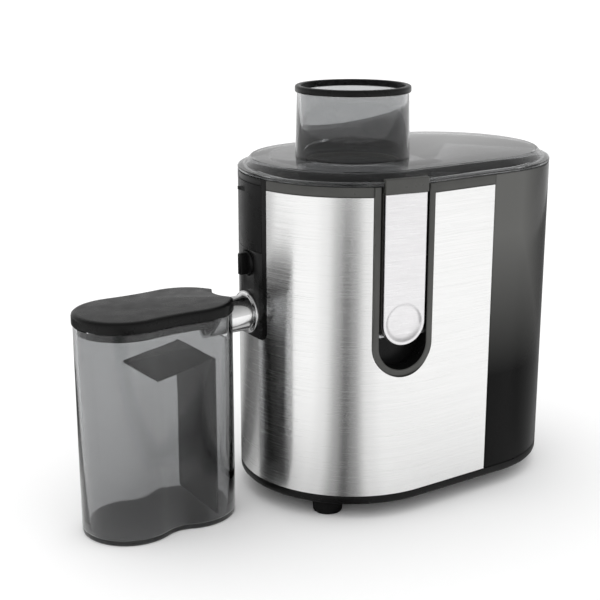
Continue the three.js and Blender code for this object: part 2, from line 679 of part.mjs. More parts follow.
place(spindle, 'drive_coupling', driveCoupling(), LOOK.nylon());
const shaftSeal = turned([[4.6, 131], [12.6, 131], [12.6, 137.6], [6, 137.6], [4.6, 136]]);
place(spindle, 'shaft_seal', shaftSeal, LOOK.rubber());

// ---------------------------------------------------------------- motor

const SHAFT_R = 4;
const STACK = [55, 95]; // stator laminations
const ARMATURE_R = 18.7;
const BORE = SHAFT_R + GAP;

place(spindle, 'motor_shaft', bar('z', SHAFT_R, [16, 160], [0, 0]), LOOK.zinc());

function armatureCore() {
  const core = bar('z', ARMATURE_R, [STACK[0] + 1, STACK[1] - 1], [0, 0]);
  const slots = [];
  for (let i = 0; i < 12; i += 1) {
    const slot = new THREE.BoxGeometry(8, 1.6, 60).translate(ARMATURE_R - 2, 0, 75);
    slots.push(solid(slot.rotateZ((i * Math.PI) / 6)));
  }
  return cut(core, bar('z', BORE, [50, 100], [0, 0]), ...slots);
}

function windingHead(z0, z1) {
  return turned([[BORE, z0], [13, z0], [16.5, z0 + 2], [16.5, z1 - 2], [13, z1], [BORE, z1]]);
}

place(spindle, 'armature_core', armatureCore(), LOOK.iron());
place(spindle, 'armature_winding_upper', windingHead(STACK[1] - 0.7, 102), LOOK.copper());
place(spindle, 'armature_winding_lower', windingHead(48, STACK[0] + 0.7), LOOK.copper());
const commutator = turned([[BORE, 31], [10, 31], [10, 44], [12, 44], [12, 47], [BORE, 47]]);
place(spindle, 'commutator', commutator, LOOK.copper());

function motorFan() {
  const disc = turned([[BORE, 103], [28, 103], [28, 104.4], [8, 104.4], [8, 111], [BORE, 111]]);
  const blades = [];
  for (let i = 0; i < 9; i += 1) {
    const blade = new THREE.BoxGeometry(19, 1.4, 7).translate(18, 0, 107.5);
    blades.push(solid(blade.rotateZ((i * 2 * Math.PI) / 9)));
  }
  return join(disc, ...blades);
}

place(spindle, 'motor_fan', motorFan(), LOOK.black());

function statorCore() {
  const block = box([-31, 31], [-46, 46], STACK);
  const room = box([-24.5, 24.5], [-34, 34], [50, 100]);
  const poles = box([-13, 13], [-40, 40], STACK);
  const bore = bar('z', 19.5, [50, 100], [0, 0]);
  return cut(join(cut(block, room), poles), bore);
}

function fieldCoil(side) {
  const inner = 21.5;
  const outer = 33.6;
  const span = side > 0 ? [inner, outer] : [-outer, -inner];
  const wide = side > 0 ? [0, 40] : [-40, 0];
  return cut(box([-23.8, 23.8], span, [49, 101]), box([-13.4, 13.4], wide, [54.6, 95.4]));
}

const BOLT_Y = 42;
const BEARING_R = 11;
const SEAT_R = BEARING_R + 0.4; // bearing seats in the brackets
const boltHoles = () => [-1, 1].map((side) => bar('z', 2.2, [0, 130], [0, side * BOLT_Y], SMALL));

place(spindle, 'stator_core', cut(statorCore(), ...boltHoles()), LOOK.iron());
place(spindle, 'field_coil_1', fieldCoil(-1), LOOK.copper());
place(spindle, 'field_coil_2', fieldCoil(1), LOOK.copper());

function lowerBracket() {
  const frame = join(
    box([-9, 9], [-50, 50], [22, 28]),
    bar('z', 15, [17, 28], [0, 0]),
    box([-32, 32], [-9, 9], [25, 28]),
    box([-9, 9], [38, 46], [27, STACK[0] - GAP]),
    box([-9, 9], [-46, -38], [27, STACK[0] - GAP]),
  );
  return cut(frame, bar('z', SEAT_R, [19, 40], [0, 0]), bar('z', 6, [0, 40], [0, 0]), ...boltHoles());
}

function upperBracket() {
  const plate = join(
    box([-22, 22], [-54, 54], [118, 122]),
    bar('z', 15, [112.5, 122], [0, 0]),
    box([-9, 9], [38, 46], [STACK[1] + GAP, 119]),
    box([-9, 9], [-46, -38], [STACK[1] + GAP, 119]),
  );
  return cut(plate, bar('z', SEAT_R, [100, 120.5], [0, 0]), bar('z', 6, [100, 130], [0, 0]), ...boltHoles());
}

place(spindle, 'motor_bracket_lower', lowerBracket(), LOOK.zinc());
place(spindle, 'motor_bracket_upper', upperBracket(), LOOK.zinc());

const bearing = () => turned([[BORE, 0], [BEARING_R, 0], [BEARING_R, 7], [BORE, 7]]);
place(spindle, 'bearing_lower', bearing(), LOOK.zinc(), [0, 0, 19.4]);
place(spindle, 'bearing_upper', bearing(), LOOK.zinc(), [0, 0, 113]);

[-1, 1].forEach((side, i) => {
  const bolt = panHeadScrew(3.8, 2.6, 106);
  place(spindle, `motor_bolt_${i + 1}`, bolt, LOOK.zinc(), [0, side * BOLT_Y, 19]);
  const holder = cut(box([-9, 9], [-5, 5], [0, 11]), box([-10, 10], [-3.3, 3.3], [2, 9]));
  place(spindle, `brush_holder_${i + 1}`, holder, LOOK.nylon(), [side * 22, 0, 28.3]);
  const brush = box([-8, 8], [-3, 3], [-3.2, 3.2]);
  place(spindle, `carbon_brush_${i + 1}`, brush, LOOK.carbon(), [side * 18.4, 0, 33.8]);
});

CORNERS.forEach(([i, j], k) => {
  const bush = turned([[0, 0], [6, 0], [6, 3.4], [4.6, 4.7], [6, 6], [6, 9.4], [0, 9.4]], SMALL);
  place(spindle, `rubber_mount_${k + 1}`, bush, LOOK.rubber(), [i * 15, j * 46, 122.3]);
});

// ---------------------------------------------------------------- juice jug

const JUG_WALL = 2;
const LID_LOW = JUG_TOP + GAP;
const NOTCH_X = -134.6; // the jug lid is cut back to here round the spout

function jug() {
  const outer = stacked(jugOutline, [[1.2, FLOOR], [0, FLOOR + 1.6], [0, JUG_TOP]]);
  const innerLevels = [[JUG_WALL + 0.8, FLOOR + 2.6], [JUG_WALL, FLOOR + 4], [JUG_WALL, JUG_TOP + 1]];
  const inner = stacked(jugOutline, innerLevels);
  const notch = join(
    bar('x', 13.4, [-142, -120], onSpout, FINE),
    box([-142, -120], [OUTLET_Y - 13.4, OUTLET_Y + 13.4], [SPOUT_Z, JUG_TOP + 1]),
  );
  return cut(outer, inner, notch);
}

function jugLid() {
  const top = stacked(jugOutline, [[-0.8, LID_LOW], [-0.8, 129.4], [-0.2, 130.6], [1.4, 131.3]]);
  const plug = cut(
    stacked(jugOutline, [[JUG_WALL + 0.5, 119], [JUG_WALL + 0.5, LID_LOW + 1]]),
    stacked(jugOutline, [[JUG_WALL + 2.3, 118], [JUG_WALL + 2.3, LID_LOW]]),
    box([-150, -100], [-FAR, FAR], [100, LID_LOW]),
  );
  const scoop = bar('z', 17, [110, 140], [NOTCH_X + 17, OUTLET_Y]);
  return cut(join(top, plug), scoop);
}

function foamSeparator() {
  const width = 24;
  const wall = box([-150.6, -149], [-width, width], [FLOOR + 4.8, 98]);
  const shelf = new THREE.BoxGeometry(40, 2 * width - 4, 1.6);
  shelf.rotateY(THREE.MathUtils.degToRad(-10)).translate(-169, 0, 94);
  return join(wall, solid(shelf));
}

place(juicer, 'jug', jug(), LOOK.jug());
place(juicer, 'jug_lid', jugLid(), LOOK.black());
place(juicer, 'foam_separator', foamSeparator(), LOOK.bin(), [0, OUTLET_Y, 0]);

export default juicer;
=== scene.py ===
"""Centrifugal juicer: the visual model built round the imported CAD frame.

Shapes are worked out in millimetres and scaled to metres as each piece is placed.
+X runs from the outlet end to the pulp bin end, -Y is the front with the locking arm, +Z is up.
"""

import json
import math

import bmesh
import bpy
from mathutils import Matrix, Vector

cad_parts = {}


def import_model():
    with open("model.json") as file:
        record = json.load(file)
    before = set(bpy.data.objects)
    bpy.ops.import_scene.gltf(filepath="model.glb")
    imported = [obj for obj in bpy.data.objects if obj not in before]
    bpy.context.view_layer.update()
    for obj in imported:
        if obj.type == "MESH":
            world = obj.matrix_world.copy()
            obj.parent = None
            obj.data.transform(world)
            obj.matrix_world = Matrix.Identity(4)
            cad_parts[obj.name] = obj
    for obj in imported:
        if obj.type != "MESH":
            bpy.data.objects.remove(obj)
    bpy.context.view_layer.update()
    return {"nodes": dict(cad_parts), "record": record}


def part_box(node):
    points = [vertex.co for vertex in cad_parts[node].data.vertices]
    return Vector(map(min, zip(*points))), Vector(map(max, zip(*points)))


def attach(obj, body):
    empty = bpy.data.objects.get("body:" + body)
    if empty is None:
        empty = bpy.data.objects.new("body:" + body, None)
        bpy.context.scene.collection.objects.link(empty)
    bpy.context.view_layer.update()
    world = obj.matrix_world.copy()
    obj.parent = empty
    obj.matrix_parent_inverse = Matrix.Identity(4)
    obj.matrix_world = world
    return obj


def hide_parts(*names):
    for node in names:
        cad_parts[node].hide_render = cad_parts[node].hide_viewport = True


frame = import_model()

MM = 0.001

# ------------------------------------------------------------------ places taken from the frame


def corners(node):
    """Lowest and highest corner of a CAD node, in millimetres."""
    low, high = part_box(node)
    return Vector(low) / MM, Vector(high) / MM


BASE_HIGH = corners("base_pan")[1]
STEEL_LOW, STEEL_HIGH = corners("steel_wrap")
BIN_LOW, BIN_HIGH = corners("pulp_bin")
RIM_LOW, RIM_HIGH = corners("chute_rim")
LID_LOW = corners("lid")[0]
JUG_LOW, JUG_HIGH = corners("jug")
JUG_LID_LOW, JUG_LID_HIGH = corners("jug_lid")
SPOUT_LOW, SPOUT_HIGH = corners("juice_spout")
KNOB_LOW, KNOB_HIGH = corners("speed_knob")
FLOOR = JUG_LOW.z

HALF_LENGTH = BASE_HIGH.x
HALF_WIDTH = BASE_HIGH.y
END_X = HALF_LENGTH - HALF_WIDTH  # centres of the two round ends
AXIS_X = -END_X  # spin axis
BIN_X = STEEL_HIGH.x  # where the steel ends
RIM_TOP = BIN_HIGH.z  # top of the collar and of the pulp bin
OUTLET_Y = (JUG_LOW.y + JUG_HIGH.y) / 2  # the line of the jug, spout and knob
SPOUT_Z = (SPOUT_LOW.z + SPOUT_HIGH.z) / 2
KNOB_Z = (KNOB_LOW.z + KNOB_HIGH.z) / 2

JOINTS = {joint["name"]: joint for joint in frame["record"]["behaviour"]["joints"]}
HINGE = JOINTS["lever_swing"]["axis"]
LATCH_TURN = math.atan2(HINGE[1], HINGE[0])  # the locking arm is turned about the spin axis

# ------------------------------------------------------------------ sizes of the finer shapes

GAP = 0.3
SKIN = 0.8  # steel thickness
WALL = 2.5
STEEL_TOP = 197.4
DECK_Z = 132
END_STEPS = 72  # segments on each round end
ROUND = 96  # segments on full circles

APRON_HALF = 17.5
APRON_LOW = 157
PANEL = 3.2
PANEL_HALF = 22
PANEL_LOW = 101
SEAT_X = -107.4
SPOUT_R = 11.5
SPOUT_BORE = 9.7
SPOUT_RING = 13.8
SPOUT_RING_X = (-111.4, -104)
DUCT_X = (-92, -72)  # the channel under the bowl
DUCT_HALF = 12

LATCH_HALF = 20.5
POCKET_HALF = 16.5
POCKET_END = 104.3
SURROUND_FRONT = -72.8
POCKET_BACK = -60
ARM_HALF = 14.5
ARM_END = 118.5
ARM_BACK = -65
ARM_TOP = 197
FACE_FRONT = -73.6
FACE_BACK = -71.2
FACE_TOP = 199
HEAD_FRONT = -74.6
HEAD_BACK = -72.5
HOOK_TOP = 208.2
HOOK_TIP = -70.9

LID_EDGE = 204
FLANGE_TOP = 206
LID_TOP = 211.7
CHUTE_R = 36.8
CHUTE_BORE = 32.5
CHUTE_TOP = 252

JUG_WALL = 2
JUG_LOBE = (JUG_HIGH.y - JUG_LOW.y) / 2
JUG_X = (JUG_LOW.x + JUG_HIGH.x) / 2
JUG_LOBE_X = (JUG_HIGH.x - JUG_LOW.x) / 2 - JUG_LOBE
WAIST_LOW = 25.2  # half width between the lobes at the floor
WAIST_HIGH = 28.8

# ------------------------------------------------------------------ meshes from rows of points


def solid(rows, closed_rows=False, closed_columns=True, caps=True):
    """A closed mesh through a grid of points, as a scratch object in millimetres."""
    mesh = bmesh.new()
    grid = [[mesh.verts.new(point) for point in row] for row in rows]
    last_row = len(rows) if closed_rows else len(rows) - 1
    last_column = len(rows[0]) if closed_columns else len(rows[0]) - 1
    for i in range(last_row):
        here, above = grid[i], grid[(i + 1) % len(rows)]
        for k in range(last_column):
            side = (k + 1) % len(here)
            mesh.faces.new((here[k], here[side], above[side], above[k]))
    if caps and not closed_rows:
        mesh.faces.new(grid[0])
        mesh.faces.new(grid[-1])
    if closed_rows and not closed_columns:
        mesh.faces.new([row[0] for row in grid])
        mesh.faces.new([row[-1] for row in grid])
    bmesh.ops.remove_doubles(mesh, verts=mesh.verts, dist=1e-4)
    bmesh.ops.dissolve_degenerate(mesh, edges=mesh.edges, dist=1e-5)
    bmesh.ops.recalc_face_normals(mesh, faces=mesh.faces)
    return scratch(mesh)


def scratch(mesh):
    data = bpy.data.meshes.new("scratch")
    mesh.to_mesh(data)
    mesh.free()
    shape = bpy.data.objects.new("scratch", data)
    bpy.context.scene.collection.objects.link(shape)
    return shape


def upright(u, v, w):
    return u, v, w


def facing_front(u, v, w):
    """An outline drawn in the XZ plane and built up along Y."""
    return u, w, v


def facing_end(u, v, w):
    """An outline drawn in the YZ plane and built up along X."""
    return w, u, v


def loft(outline, levels, place=upright):
    """A solid with flat ends through [inset, level] copies of an outline."""
    return solid([[place(u, v, level) for u, v in outline(inset)] for inset, level in levels])


def jug_loft(levels):
    return solid([[(x, y, z) for x, y in jug_outline(inset, z)] for inset, z in levels])


def wall(outline, profile, open_path=False):
    """A wall that follows an outline; its section is a closed loop of [inset, height]."""
    rows = [[(x, y, z) for x, y in outline(inset)] for inset, z in profile]
    return solid(rows, closed_rows=True, closed_columns=not open_path)


def lathe(profile, steps=ROUND, centre=(0, 0), closed=True):
    """A closed loop of [radius, height] turned about an upright axis."""
    turn = 2 * math.pi / steps
    rows = []
    for radius, z in profile:
        angles = [turn * k for k in range(steps)]
        rows.append([(centre[0] + radius * math.cos(a), centre[1] + radius * math.sin(a), z) for a in angles])
    return solid(rows, closed_rows=closed)


def block(x, y, z):
    (x0, x1), (y0, y1), (z0, z1) = x, y, z
    return solid([[(x0, y0, w), (x1, y0, w), (x1, y1, w), (x0, y1, w)] for w in (z0, z1)])


def disc_outline(centre, radius, steps=ROUND):
    def outline(inset):
        return arc(centre, radius - inset, 0, 2 * math.pi * (1 - 1 / steps), steps - 1)
    return outline


def rod(place, centre, radius, span):
    """A plain round bar along the built-up axis."""
    return loft(disc_outline(centre, radius), [(0, span[0]), (0, span[1])], place)


def moved(shape, matrix):
    shape.data.transform(matrix)
    return shape


def in_latch(shape):
    """Carries a shape from the locking arm's own frame to the body."""
    return moved(shape, Matrix.Translation((AXIS_X, 0, 0)) @ Matrix.Rotation(LATCH_TURN, 4, "Z"))


def combine(shape, others, operation):
    for other in others:
        modifier = shape.modifiers.new("combine", "BOOLEAN")
        modifier.operation = operation
        modifier.solver = "EXACT"
        modifier.object = other
    apply_modifiers(shape)
    for other in others:
        discard(other)
    return shape


def cut(shape, *others):
    return combine(shape, others, "DIFFERENCE")


def join(shape, *others):
    return combine(shape, others, "UNION")


def overlap(shape, other):
    return combine(shape, [other], "INTERSECT")


def apply_modifiers(shape):
    evaluated = shape.evaluated_get(bpy.context.evaluated_depsgraph_get())
    data = bpy.data.meshes.new_from_object(evaluated)
    old = shape.data
    shape.modifiers.clear()
    shape.data = data
    bpy.data.meshes.remove(old)


def discard(shape):
    data = shape.data
    bpy.data.objects.remove(shape)
    bpy.data.meshes.remove(data)


def rounded(shape, width, segments=2, angle=35):
    """Rounds every edge sharper than the angle."""
    modifier = shape.modifiers.new("round", "BEVEL")
    modifier.width = width
    modifier.segments = segments
    modifier.limit_method = "ANGLE"
    modifier.angle_limit = math.radians(angle)
    modifier.miter_outer = "MITER_ARC"
    apply_modifiers(shape)
    return shape


def piece(node, shape, body, sharp):
    """Puts a finished shape, brought to metres, in place of a CAD node and fixes it to its body."""
    data = shape.data
    data.transform(Matrix.Scale(MM, 4))
    shape.name = data.name = node + "_shell"
    data.materials.clear()
    data.materials.append(look_of(node))
    data.shade_smooth()
    data.set_sharp_from_angle(angle=math.radians(sharp))
    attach(shape, body)
    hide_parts(node)
    return shape


SLOTS = {part["node"]: part["material_slot"] for part in frame["record"]["subparts"]}

# ------------------------------------------------------------------ outlines


def arc(centre, radius, start, end, steps):
    turn = (end - start) / steps
    angles = [start + turn * i for i in range(steps + 1)]
    return [(centre[0] + radius * math.cos(a), centre[1] + radius * math.sin(a)) for a in angles]


def body_outline(inset):
    radius = HALF_WIDTH - inset
    right = arc((END_X, 0), radius, -math.pi / 2, math.pi / 2, END_STEPS)
    return right + arc((-END_X, 0), radius, math.pi / 2, 1.5 * math.pi, END_STEPS)


def wrap_outline(inset):
    """From the back round the left end to the front, open towards the pulp bin."""
    radius = HALF_WIDTH - inset
    bend = arc((-END_X, 0), radius, math.pi / 2, 1.5 * math.pi, 2 * END_STEPS)
    return [(BIN_X, radius), *bend, (BIN_X, -radius)]


def bin_outline(inset):
    """The right-hand end: flat on the left with small round corners."""
    radius = HALF_WIDTH - inset
    left = BIN_LOW.x + inset
    corner = max(1.6 - inset, 0.3)
    end = arc((END_X, 0), radius, -math.pi / 2, math.pi / 2, END_STEPS)
    back = arc((left + corner, radius - corner), corner, math.pi / 2, math.pi, 6)
    front = arc((left + corner, corner - radius), corner, math.pi, 1.5 * math.pi, 6)
    return end + back + front


def jug_outline(inset, z):
    """Two round lobes joined on each side by a waist that deepens towards the floor."""
    rise = min(max((z - FLOOR) / (JUG_HIGH.z - FLOOR), 0), 1)
    lobe = JUG_LOBE - inset
    waist = WAIST_LOW + (WAIST_HIGH - WAIST_LOW) * rise - inset
    fillet = (waist**2 + JUG_LOBE_X**2 - lobe**2) / (2 * (lobe - waist))
    fillet_y = waist + fillet
    meet = math.atan2(fillet_y, JUG_LOBE_X)
    steps = END_STEPS
    return (
        arc((JUG_X + JUG_LOBE_X, OUTLET_Y), lobe, meet - math.pi, math.pi - meet, steps)
        + arc((JUG_X, OUTLET_Y + fillet_y), fillet, -meet, meet - math.pi, steps // 3)[1:-1]
        + arc((JUG_X - JUG_LOBE_X, OUTLET_Y), lobe, meet, 2 * math.pi - meet, steps)
        + arc((JUG_X, OUTLET_Y - fillet_y), fillet, math.pi - meet, meet, steps // 3)[1:-1]
    )


def slot_outline(half, end, top):
    """An upright slot with a round lower end."""
    def outline(inset):
        low = arc((0, end), half - inset, math.pi, 2 * math.pi, 48)
        return [(inset - half, top - inset), *low, (half - inset, top - inset)]
    return outline


def outlet_outline(half, low, corner=6):
    """The outlet panel's front view: round lower corners, open at the top."""
    def outline(inset):
        h = half - inset
        z = low + inset
        left = arc((OUTLET_Y - h + corner, z + corner), corner, math.pi, 1.5 * math.pi, 12)
        right = arc((OUTLET_Y + h - corner, z + corner), corner, -math.pi / 2, 0, 12)
        return [(OUTLET_Y - h, RIM_TOP + 5), *left, *right, (OUTLET_Y + h, RIM_TOP + 5)]
    return outline


# ------------------------------------------------------------------ materials


class Look:
    """A Principled material with helpers for grain, colour variation and relief."""

    def __init__(self, name, color, roughness, metallic=0.0, specular=0.5):
        self.material = bpy.data.materials.new(name)
        self.material.use_nodes = True
        self.nodes = self.material.node_tree.nodes
        self.links = self.material.node_tree.links
        self.shader = self.nodes["Principled BSDF"]
        self.color = color
        self.roughness = roughness
        self.relief = None
        self.set("Base Color", (*color, 1))
        self.set("Roughness", roughness)
        self.set("Metallic", metallic)
        self.set("Specular IOR Level", specular)
        self.coordinates = self.nodes.new("ShaderNodeTexCoord")

    def set(self, socket, value):
        self.shader.inputs[socket].default_value = value

    def noise(self, stretch, detail=3.0, rough=0.55):
        """Noise with a frequency per metre along each axis."""
        mapping = self.nodes.new("ShaderNodeMapping")
        mapping.inputs["Scale"].default_value = stretch
        noise = self.nodes.new("ShaderNodeTexNoise")
        noise.inputs["Scale"].default_value = 1.0
        noise.inputs["Detail"].default_value = detail
        noise.inputs["Roughness"].default_value = rough
        self.links.new(self.coordinates.outputs["Object"], mapping.inputs["Vector"])
        self.links.new(mapping.outputs["Vector"], noise.inputs["Vector"])
        return noise.outputs["Fac"]

    def ranged(self, value, low, high, start=0.3, end=0.7):
        node = self.nodes.new("ShaderNodeMapRange")
        node.inputs["From Min"].default_value = start
        node.inputs["From Max"].default_value = end
        node.inputs["To Min"].default_value = low
        node.inputs["To Max"].default_value = high
        self.links.new(value, node.inputs["Value"])
        return node.outputs["Result"]

    def vary_roughness(self, value, spread):
        varied = self.ranged(value, self.roughness * (1 - spread), self.roughness * (1 + spread))
        self.links.new(varied, self.shader.inputs["Roughness"])

    def vary_color(self, value, other, amount=1.0, start=0.3, end=0.7):
        mix = self.nodes.new("ShaderNodeMix")
        mix.data_type = "RGBA"
        mix.inputs["A"].default_value = (*self.color, 1)
        mix.inputs["B"].default_value = (*other, 1)
        self.links.new(self.ranged(value, 0, amount, start, end), mix.inputs["Factor"])
        self.links.new(mix.outputs["Result"], self.shader.inputs["Base Color"])

    def raise_by(self, value, strength, distance):
        bump = self.nodes.new("ShaderNodeBump")
        bump.inputs["Strength"].default_value = strength
        bump.inputs["Distance"].default_value = distance
        self.links.new(value, bump.inputs["Height"])
        if self.relief is not None:
            self.links.new(self.relief, bump.inputs["Normal"])
        self.relief = bump.outputs["Normal"]
        self.links.new(self.relief, self.shader.inputs["Normal"])


def fade(look, axis, full, dark):
    """0 where a place along an axis, in metres, keeps the full colour and 1 where it is dark."""
    place = look.nodes.new("ShaderNodeSeparateXYZ")
    look.links.new(look.coordinates.outputs["Object"], place.inputs["Vector"])
    return look.ranged(place.outputs[axis], 0, 1, full, dark)


def paint_bin_shade(look):
    """Painted shade: the bin's wall colour is darkened to black towards its foot and round its end, so the
    top looks lit through the smoked plastic.
    """
    bin_shade = look.nodes.new("ShaderNodeMath")
    bin_shade.operation = "MAXIMUM"
    look.links.new(fade(look, "Z", 0.165, 0.07), bin_shade.inputs[0])
    look.links.new(fade(look, "X", 0.045, 0.08), bin_shade.inputs[1])
    # painted shade: near-black colour mixed into the wall where the fades above reach 1
    look.vary_color(bin_shade.outputs["Value"], (0.004, 0.004, 0.004), start=0, end=1)


def moulded(name, color, roughness, specular=0.4, grain=0.08):
    """Moulded plastic: slight orange-peel relief, cloudy gloss and a few rubbed patches."""
    look = Look(name, color, roughness, specular=specular)
    look.vary_roughness(look.noise((90, 90, 90), 4), 0.22)
    look.vary_color(look.noise((35, 35, 35), 5), tuple(1.35 * c for c in color))
    look.raise_by(look.noise((1600, 1600, 1600), 2), grain, 0.00004)
    look.raise_by(look.noise((120, 120, 120), 1), grain, 0.00025)
    return look


def brushed(name, color, roughness, along=22, across=3400):
    """Horizontally brushed sheet: fine upright frequency, long streaks round the body."""
    look = Look(name, color, roughness, metallic=1.0)
    streaks = look.noise((along, along, across), 2, 0.7)
    look.vary_roughness(streaks, 0.3)
    look.vary_color(streaks, tuple(0.94 * c for c in color))
    look.raise_by(streaks, 0.03, 0.00001)
    look.set("Anisotropic", 0.75)
    look.set("Anisotropic Rotation", 0.25)
    tangent = look.nodes.new("ShaderNodeTangent")
    tangent.direction_type = "RADIAL"
    tangent.axis = "Z"
    look.links.new(tangent.outputs["Tangent"], look.shader.inputs["Tangent"])
    return look


def see_through(name, tint, roughness=0.02):
    """Clear moulded plastic with a smoke tint and faint flow ripples."""
    look = Look(name, tint, roughness)
    look.set("Transmission Weight", 1.0)
    look.set("IOR", 1.49)
    look.raise_by(look.noise((60, 60, 60), 1), 0.05, 0.0004)
    look.vary_roughness(look.noise((140, 140, 140), 3), 0.5)
    return look


def metal(name, color, roughness, grain=900):
    look = Look(name, color, roughness, metallic=1.0)
    look.vary_roughness(look.noise((grain, grain, grain), 3), 0.3)
    look.vary_color(look.noise((60, 60, 60), 4), tuple(0.85 * c for c in color))
    look.raise_by(look.noise((grain, grain, grain), 2), 0.05, 0.00003)
    return look


def rubber():
    look = Look("black_rubber", (0.003, 0.003, 0.003), 0.72, specular=0.12)
    look.vary_roughness(look.noise((400, 400, 400), 3), 0.15)
    look.raise_by(look.noise((2500, 2500, 2500), 3), 0.35, 0.00005)
    look.vary_color(look.noise((80, 80, 80), 4), (0.006, 0.006, 0.006))
    return look


def etched_mesh():
    """Filter steel with rows of tiny holes drawn as dark dots, painted shade in place of real openings, with
    a slight dent.
    """
    look = Look("mesh_steel", (0.55, 0.55, 0.53), 0.3, metallic=1.0)
    holes = look.nodes.new("ShaderNodeTexVoronoi")
    holes.inputs["Scale"].default_value = 900
    holes.inputs["Randomness"].default_value = 0.15
    look.links.new(look.coordinates.outputs["Object"], holes.inputs["Vector"])
    edge = look.ranged(holes.outputs["Distance"], 1, 0, 0.22, 0.34)
    mix = look.nodes.new("ShaderNodeMix")
    mix.data_type = "RGBA"
    mix.inputs["A"].default_value = (0.55, 0.55, 0.53, 1)
    # painted shade where the holes are
    mix.inputs["B"].default_value = (0.02, 0.02, 0.02, 1)
    look.links.new(edge, mix.inputs["Factor"])
    look.links.new(mix.outputs["Result"], look.shader.inputs["Base Color"])
    look.raise_by(edge, -0.4, 0.0001)
    return look


def wound_copper():
    look = Look("copper", (0.42, 0.13, 0.04), 0.34, metallic=0.9)
    turns = look.noise((140, 140, 2600), 1)
    look.raise_by(turns, 0.8, 0.0003)
    look.vary_color(turns, (0.2, 0.05, 0.015))
    return look


MATERIALS = {
    "black_plastic": moulded("black_plastic", (0.004, 0.004, 0.004), 0.3, 0.15),
    "black_rubber": rubber(),
    "grey_plastic": moulded("grey_plastic", (0.045, 0.045, 0.042), 0.34, 0.4),
    "brushed_steel": brushed("brushed_steel", (0.85, 0.85, 0.845), 0.22),
    "silver_metal": brushed("silver_metal", (0.86, 0.85, 0.86), 0.34, along=60, across=5200),
    "chrome": metal("chrome", (0.85, 0.85, 0.85), 0.1),
    "smoked_plastic": see_through("smoked_plastic", (0.5, 0.505, 0.51)),
    "clear_plastic": see_through("clear_plastic", (0.5, 0.505, 0.51)),
    "bin_plastic": moulded("bin_plastic", (0.11, 0.11, 0.106), 0.14, 0.06, 0.03),
    "mesh_steel": etched_mesh(),
    "motor_iron": metal("motor_iron", (0.2, 0.2, 0.21), 0.5),
    "copper": wound_copper(),
    "carbon": moulded("carbon", (0.02, 0.02, 0.02), 0.6),
    "zinc_steel": metal("zinc_steel", (0.55, 0.56, 0.57), 0.3),
    "nylon": moulded("nylon", (0.62, 0.6, 0.52), 0.5),
}


# painted shade on the pulp bin's wall, darker towards its foot and round its end
paint_bin_shade(MATERIALS["bin_plastic"])


def look_of(node):
    return MATERIALS[SLOTS[node]].material


rebuilt = set()


def add(node, shape, body, sharp=32):
    rebuilt.add(node)
    return piece(node, shape, body, sharp)


# ------------------------------------------------------------------ base and feet


def base_pan():
    edge = [(1.8, 0), (0.8, 0.3), (0.25, 0.9), (0, 1.7), (0, 5), (0.2, 5.4), (0.6, BASE_HIGH.z)]
    pan = loft(body_outline, edge)
    slots = []
    for i in range(-3, 4):
        x = AXIS_X + 9 * i
        reach = 24 - 2 * abs(i)
        slots.append(block((x - 2, x + 2), (5, 5 + reach), (-1, 8)))
        slots.append(block((x - 2, x + 2), (-5 - reach, -5), (-1, 8)))
    recesses = []
    for i in (1, 2):
        low, high = corners(f"base_screw_{i}")
        middle = (low + high) / 2
        recesses.append(rod(upright, (middle.x, middle.y), 4.2, (-1, 2.8)))
        recesses.append(rod(upright, (middle.x, middle.y), 2.2, (-1, 8)))
    return cut(pan, *slots, *recesses)


def foot(node):
    low, high = corners(node)
    middle = (low + high) / 2
    radius = (high.x - low.x) / 2
    top = high.z - low.z
    profile = [
        (2.2, top), (2.2, 4.5), (5.2, 4.5), (5.2, 0.3), (5.5, 0), (radius - 2, 0), (radius - 1.3, 0.3),
        (radius - 0.8, 1), (radius - 0.2, top - 0.6), (radius - 0.4, top),
    ]
    shape = lathe(profile, 64, (middle.x, middle.y))
    return moved(shape, Matrix.Translation((0, 0, low.z)))


add("base_pan", base_pan(), "housing")
for i in range(1, 5):
    add(f"foot_{i}", foot(f"foot_{i}"), "housing")

# ------------------------------------------------------------------ steel, collar and pulp bin

REAR_SLOTS = [(40 + 9 * i, 44 + 9 * i) for i in range(6)]
GLAND = (-10, 24)
GLAND_HOLE = 6.5


def latch_opening(grow=GAP):
    outline = slot_outline(LATCH_HALF + grow, POCKET_END, RIM_TOP + 6)
    return in_latch(loft(outline, [(0, -85), (0, POCKET_BACK + 4)], facing_front))


def outlet_opening(grow=GAP):
    outline = outlet_outline(PANEL_HALF + grow, PANEL_LOW - grow)
    return loft(outline, [(0, -130), (0, -70)], facing_end)


def rear_slots():
    return [block((-30, 5), (HALF_WIDTH - 12, HALF_WIDTH + 5), span) for span in REAR_SLOTS]


def gland_hole(radius):
    return rod(facing_front, GLAND, radius, (HALF_WIDTH - 12, HALF_WIDTH + 6))


def steel_wrap():
    low, high = STEEL_LOW.z, STEEL_TOP
    section = [(0, low), (0, high - 0.2), (0.2, high), (SKIN - 0.1, high), (SKIN, high - 0.1), (SKIN, low)]
    sheet = wall(wrap_outline, section, open_path=True)
    return cut(sheet, latch_opening(), outlet_opening(), gland_hole(GLAND_HOLE), *rear_slots())


